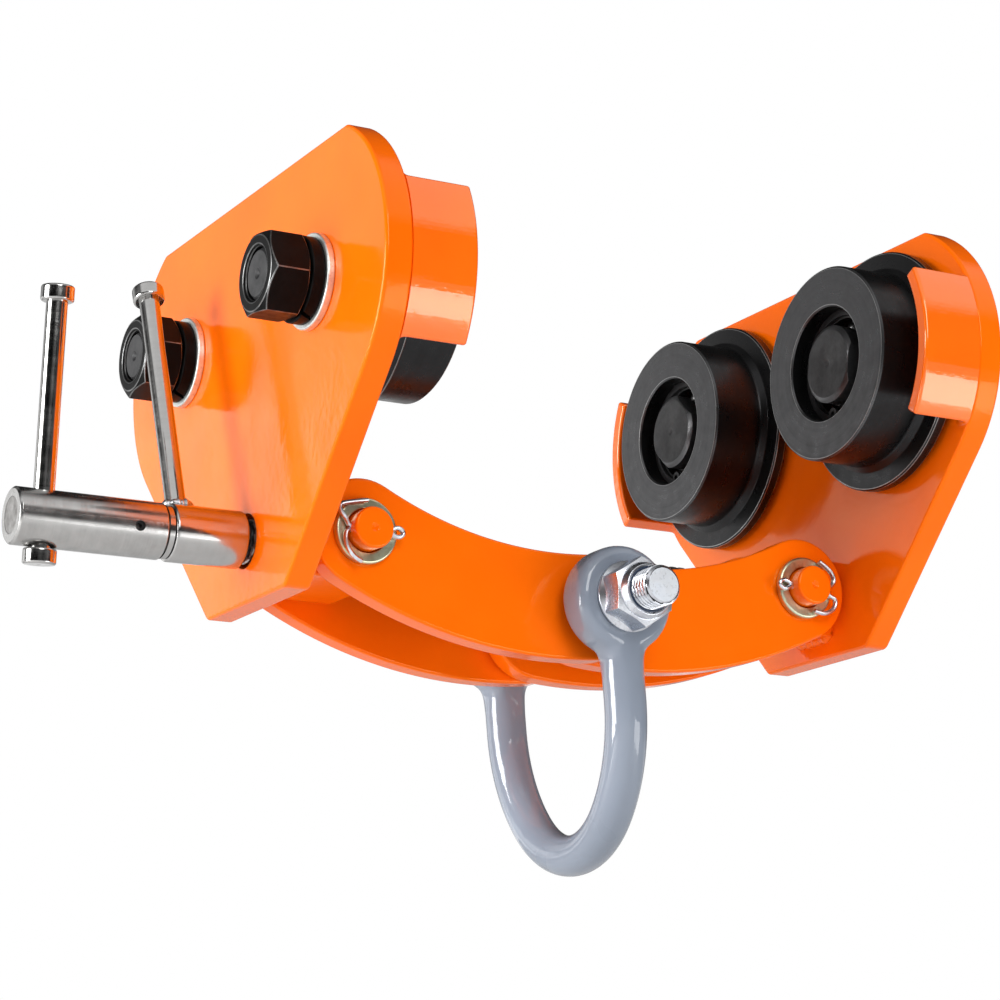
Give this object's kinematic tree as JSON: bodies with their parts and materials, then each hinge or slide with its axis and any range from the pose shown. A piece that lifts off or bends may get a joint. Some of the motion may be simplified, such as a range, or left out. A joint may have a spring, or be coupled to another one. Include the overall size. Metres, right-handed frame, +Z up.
{
  "type": "spindle beam trolley",
  "caption": "Push trolley that runs on an I-beam's lower flange, with flanged wheels, scissor arms closed by a handled spindle, and a bow shackle for the load.",
  "frame": {"origin": "on the wheels' running plane, midway between the two sides and the two axle pairs of the open trolley", "axes": "+X across the beam towards the side without handles, +Y along the beam, +Z up"},
  "size_m": [0.3902, 0.239, 0.26],
  "materials": {
    "orange_paint": "gloss",
    "grey_paint": "gloss",
    "wheel_steel": "dark turned steel, satin",
    "black_oxide": "black oxide, satin",
    "bright_zinc": "bright zinc plate",
    "yellow_zinc": "pale yellow passivated zinc",
    "polished_zinc": "polished plate",
    "plain_steel": "turned steel",
    "bearing_steel": "ground steel",
    "nylon": "dark blue nylon"
  },
  "bodies": {
    "left_side": {"side_plate_l": "orange_paint", "guard_near_l": "orange_paint", "guard_far_l": "orange_paint", "trunnion_l": "orange_paint", "axle_near_l": "black_oxide", "axle_far_l": "black_oxide", "axle_spacers_l": "plain_steel", "plain_washers_l": "bright_zinc", "spring_washers_l": "black_oxide", "axle_nuts_l": "black_oxide", "bearing_inners_l": "bearing_steel", "pin_washers_l": "yellow_zinc", "split_pins_l": "bright_zinc"},
    "thrust_ring": {"thrust_ring": "black_oxide"},
    "spindle": {"spindle": "plain_steel", "spindle_sleeve": "polished_zinc", "roll_pin": "plain_steel"},
    "t_bar": {"t_bar": "polished_zinc", "t_bar_buttons": "polished_zinc"},
    "lock_nut": {"lock_nut": "polished_zinc", "lock_bar": "polished_zinc"},
    "left_arms": {"arm_front_l": "orange_paint", "arm_rear_l": "orange_paint"},
    "centre": {"shackle_bolt": "bright_zinc", "shackle_nut": "bright_zinc", "nut_insert": "nylon", "bolt_spacer": "plain_steel"},
    "shackle": {"shackle": "grey_paint"},
    "right_arms": {"arm_front_r": "orange_paint", "arm_rear_r": "orange_paint"},
    "right_side": {"side_plate_r": "orange_paint", "guard_near_r": "orange_paint", "guard_far_r": "orange_paint", "trunnion_r": "orange_paint", "axle_near_r": "black_oxide", "axle_far_r": "black_oxide", "axle_spacers_r": "plain_steel", "plain_washers_r": "bright_zinc", "spring_washers_r": "black_oxide", "axle_nuts_r": "black_oxide", "bearing_inners_r": "bearing_steel", "pin_washers_r": "yellow_zinc", "split_pins_r": "bright_zinc"},
    "wheel_near_l": {"wheel_near_l": "wheel_steel", "bearing_outer_near_l": "bearing_steel", "balls_near_l": "bearing_steel", "clip_near_l": "black_oxide"},
    "wheel_far_l": {"wheel_far_l": "wheel_steel", "bearing_outer_far_l": "bearing_steel", "balls_far_l": "bearing_steel", "clip_far_l": "black_oxide"},
    "wheel_near_r": {"wheel_near_r": "wheel_steel", "bearing_outer_near_r": "bearing_steel", "balls_near_r": "bearing_steel", "clip_near_r": "black_oxide"},
    "wheel_far_r": {"wheel_far_r": "wheel_steel", "bearing_outer_far_r": "bearing_steel", "balls_far_r": "bearing_steel", "clip_far_r": "black_oxide"}
  },
  "joints": [
    {"name": "fold", "type": "hinge", "parent": "left_side", "child": "left_arms", "pos_m": [-0.103, 0, -0.046], "axis": [0, 1, 0], "range_deg": [0, 64.3]},
    {"name": "bolt_turn", "type": "hinge", "parent": "left_arms", "child": "centre", "pos_m": [0, 0, -0.065], "axis": [0, 1, 0], "range_deg": [-64.8, 0.5]},
    {"name": "right_fold", "type": "hinge", "parent": "left_arms", "child": "right_arms", "pos_m": [0, 0, -0.065], "axis": [0, 1, 0], "range_deg": [-129.1, 0.5]},
    {"name": "right_side_turn", "type": "hinge", "parent": "right_arms", "child": "right_side", "pos_m": [0.103, 0, -0.046], "axis": [0, 1, 0], "range_deg": [-0.5, 64.8]},
    {"name": "shackle_swing", "type": "hinge", "parent": "centre", "child": "shackle", "pos_m": [0, 0, -0.065], "axis": [0, 1, 0], "range_deg": [-55.5, 64.5]},
    {"name": "spindle_slide", "type": "slide", "parent": "left_side", "child": "thrust_ring", "axis": [1, 0, 0], "range_m": [-0.07595, 0.0005]},
    {"name": "spindle_spin", "type": "hinge", "parent": "thrust_ring", "child": "spindle", "pos_m": [-0.18, 0, -0.046], "axis": [1, 0, 0], "range_deg": [-5, 6801]},
    {"name": "t_bar_slide", "type": "slide", "parent": "spindle", "child": "t_bar", "axis": [0, 0.1097, -0.994], "range_m": [0, 0.0702]},
    {"name": "lock_nut_turn", "type": "hinge", "parent": "left_side", "child": "lock_nut", "pos_m": [-0.1538, 0, -0.046], "axis": [1, 0, 0], "range_deg": [0, 40]},
    {"name": "wheel_near_l_spin", "type": "hinge", "parent": "left_side", "child": "wheel_near_l", "pos_m": [-0.109, -0.06, 0.04], "axis": [1, 0, 0], "continuous": true},
    {"name": "wheel_far_l_spin", "type": "hinge", "parent": "left_side", "child": "wheel_far_l", "pos_m": [-0.109, 0.06, 0.04], "axis": [1, 0, 0], "continuous": true},
    {"name": "wheel_near_r_spin", "type": "hinge", "parent": "right_side", "child": "wheel_near_r", "pos_m": [0.109, -0.06, 0.04], "axis": [1, 0, 0], "continuous": true},
    {"name": "wheel_far_r_spin", "type": "hinge", "parent": "right_side", "child": "wheel_far_r", "pos_m": [0.109, 0.06, 0.04], "axis": [1, 0, 0], "continuous": true}
  ],
  "couplings": [
    {"joint": "bolt_turn", "follows": "fold", "ratio": -1},
    {"joint": "right_fold", "follows": "fold", "ratio": -2},
    {"joint": "right_side_turn", "follows": "fold", "ratio": 1},
    {"joint": "spindle_slide", "follows": "fold", "m_per_rad": -0.06723},
    {"joint": "spindle_spin", "follows": "fold", "ratio": 105.61}
  ]
}
